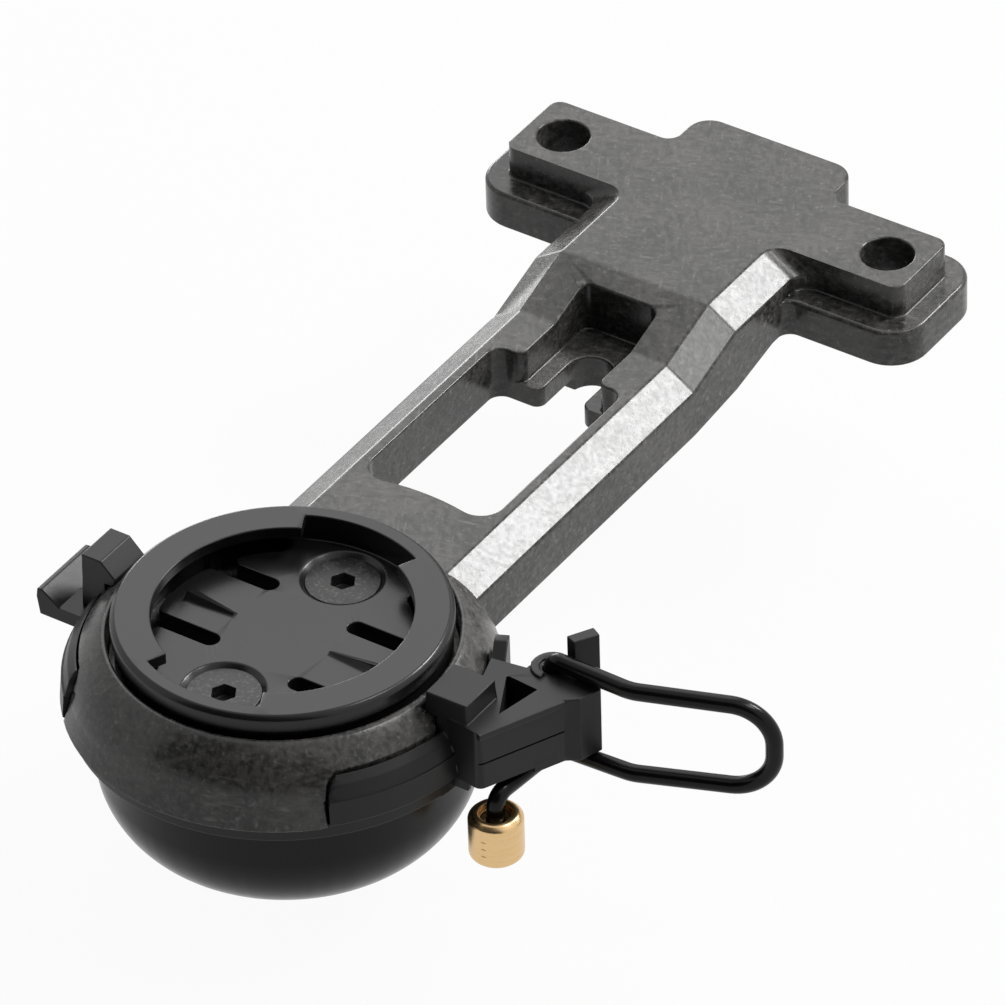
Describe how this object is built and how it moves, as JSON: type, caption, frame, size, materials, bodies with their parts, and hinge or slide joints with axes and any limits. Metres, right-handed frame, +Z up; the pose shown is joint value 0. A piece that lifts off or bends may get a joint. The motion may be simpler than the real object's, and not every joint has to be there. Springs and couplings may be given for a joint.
{
  "type": "bike computer mount",
  "caption": "Out-front handlebar mount: a cranked arm from a bolt plate to a quarter-turn computer socket, with a clip-in bell and its wire lever under the head.",
  "frame": {"origin": "midway between the two handlebar bolt holes, on the top face of the bolt plate", "axes": "+Z up out of the plate's top face, +Y from the head to the handlebar, +X the side of the bell lever"},
  "size_m": [0.0807, 0.1204, 0.0318],
  "materials": {
    "composite": "satin moulded long-fibre composite with a flaky grain",
    "socket_nylon": "satin moulded nylon",
    "black_steel": "black oxide",
    "bush_brass": "turned",
    "carrier_plastic": "satin moulded plastic",
    "bell_black": "gloss black coating",
    "washer_rubber": "soft",
    "wire_black": "gloss black coating on spring wire",
    "striker_brass": "turned, bright"
  },
  "bodies": {
    "mount": {"mount_body": "composite", "computer_insert": "socket_nylon", "insert_screws": "black_steel", "thread_inserts": "bush_brass", "bell_carrier": "carrier_plastic", "bell_dome": "bell_black", "bell_washers": "washer_rubber", "bell_screw": "black_steel"},
    "lever": {"lever_wire": "wire_black", "striker": "striker_brass"}
  },
  "joints": [
    {"name": "lever_swing", "type": "hinge", "parent": "mount", "child": "lever", "pos_m": [0.027, -0.0754, -0.0075], "axis": [0, 0, 1], "range_deg": [-17, 0], "stiffness_Nm_per_rad": 0.02, "springref_deg": 5.73}
  ]
}
